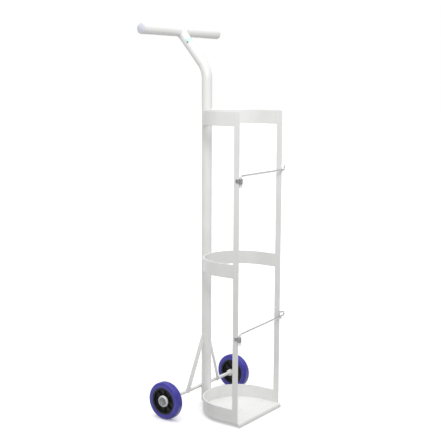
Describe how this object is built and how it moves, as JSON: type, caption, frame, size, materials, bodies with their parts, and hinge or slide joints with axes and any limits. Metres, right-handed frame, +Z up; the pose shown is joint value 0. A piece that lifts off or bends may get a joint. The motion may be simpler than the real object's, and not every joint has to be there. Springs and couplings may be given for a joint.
{
  "type": "gas cylinder trolley",
  "caption": "Two-wheeled hospital trolley for one upright gas cylinder: round spine with a T handle, flat-bar hoops and uprights, base plate, and swing-out retaining bars.",
  "frame": {"origin": "on the floor, under the middle of the trolley's overall length and width", "axes": "+X to the right seen from the open front, -Y towards the open front, +Y towards the axle and handle, +Z up"},
  "size_m": [0.44, 0.3578, 1.2878],
  "materials": {
    "powder_coat": "semi-gloss off-white powder coat",
    "plug_plastic": "moulded lavender-grey plastic",
    "label_film": "blank printed film",
    "zinc_steel": "zinc plated",
    "tyre_rubber": "blue elastic rubber",
    "centre_plastic": "black moulded polyamide",
    "cover_plastic": "light grey moulded plastic"
  },
  "bodies": {
    "frame": {"spine_tube": "powder_coat", "handle_bar": "powder_coat", "handle_plug_left": "plug_plastic", "handle_plug_right": "plug_plastic", "spine_foot_plug": "plug_plastic", "neck_label": "label_film", "top_hoop": "powder_coat", "middle_hoop": "powder_coat", "bottom_hoop": "powder_coat", "left_upright": "powder_coat", "right_upright": "powder_coat", "base_plate": "powder_coat", "left_strut": "powder_coat", "right_strut": "powder_coat", "axle": "powder_coat", "axle_collars": "powder_coat", "inner_washers": "zinc_steel", "outer_washers": "zinc_steel", "axle_end_caps": "zinc_steel", "upper_hinge_barrel": "zinc_steel", "lower_hinge_barrel": "zinc_steel", "upper_bar_keeper": "powder_coat", "lower_bar_keeper": "powder_coat"},
    "left_wheel": {"left_tyre": "tyre_rubber", "left_wheel_centre": "centre_plastic", "left_hub_bush": "zinc_steel", "left_hub_cover": "cover_plastic"},
    "right_wheel": {"right_tyre": "tyre_rubber", "right_wheel_centre": "centre_plastic", "right_hub_bush": "zinc_steel", "right_hub_cover": "cover_plastic"},
    "upper_bar": {"upper_retaining_bar": "zinc_steel", "upper_hinge_washer": "zinc_steel", "upper_pin_cap": "zinc_steel"},
    "lower_bar": {"lower_retaining_bar": "zinc_steel", "lower_hinge_washer": "zinc_steel", "lower_pin_cap": "zinc_steel"}
  },
  "joints": [
    {"name": "left_wheel_spin", "type": "hinge", "parent": "frame", "child": "left_wheel", "pos_m": [-0.195, 0.07397, 0.0625], "axis": [1, 0, 0], "continuous": true},
    {"name": "right_wheel_spin", "type": "hinge", "parent": "frame", "child": "right_wheel", "pos_m": [0.195, 0.07397, 0.0625], "axis": [1, 0, 0], "continuous": true},
    {"name": "upper_bar_swing", "type": "hinge", "parent": "frame", "child": "upper_bar", "pos_m": [-0.122, -0.17048, 0.8], "axis": [0, 0, -1], "range_deg": [0, 178]},
    {"name": "lower_bar_swing", "type": "hinge", "parent": "frame", "child": "lower_bar", "pos_m": [-0.122, -0.17048, 0.296], "axis": [0, 0, -1], "range_deg": [0, 178]}
  ]
}
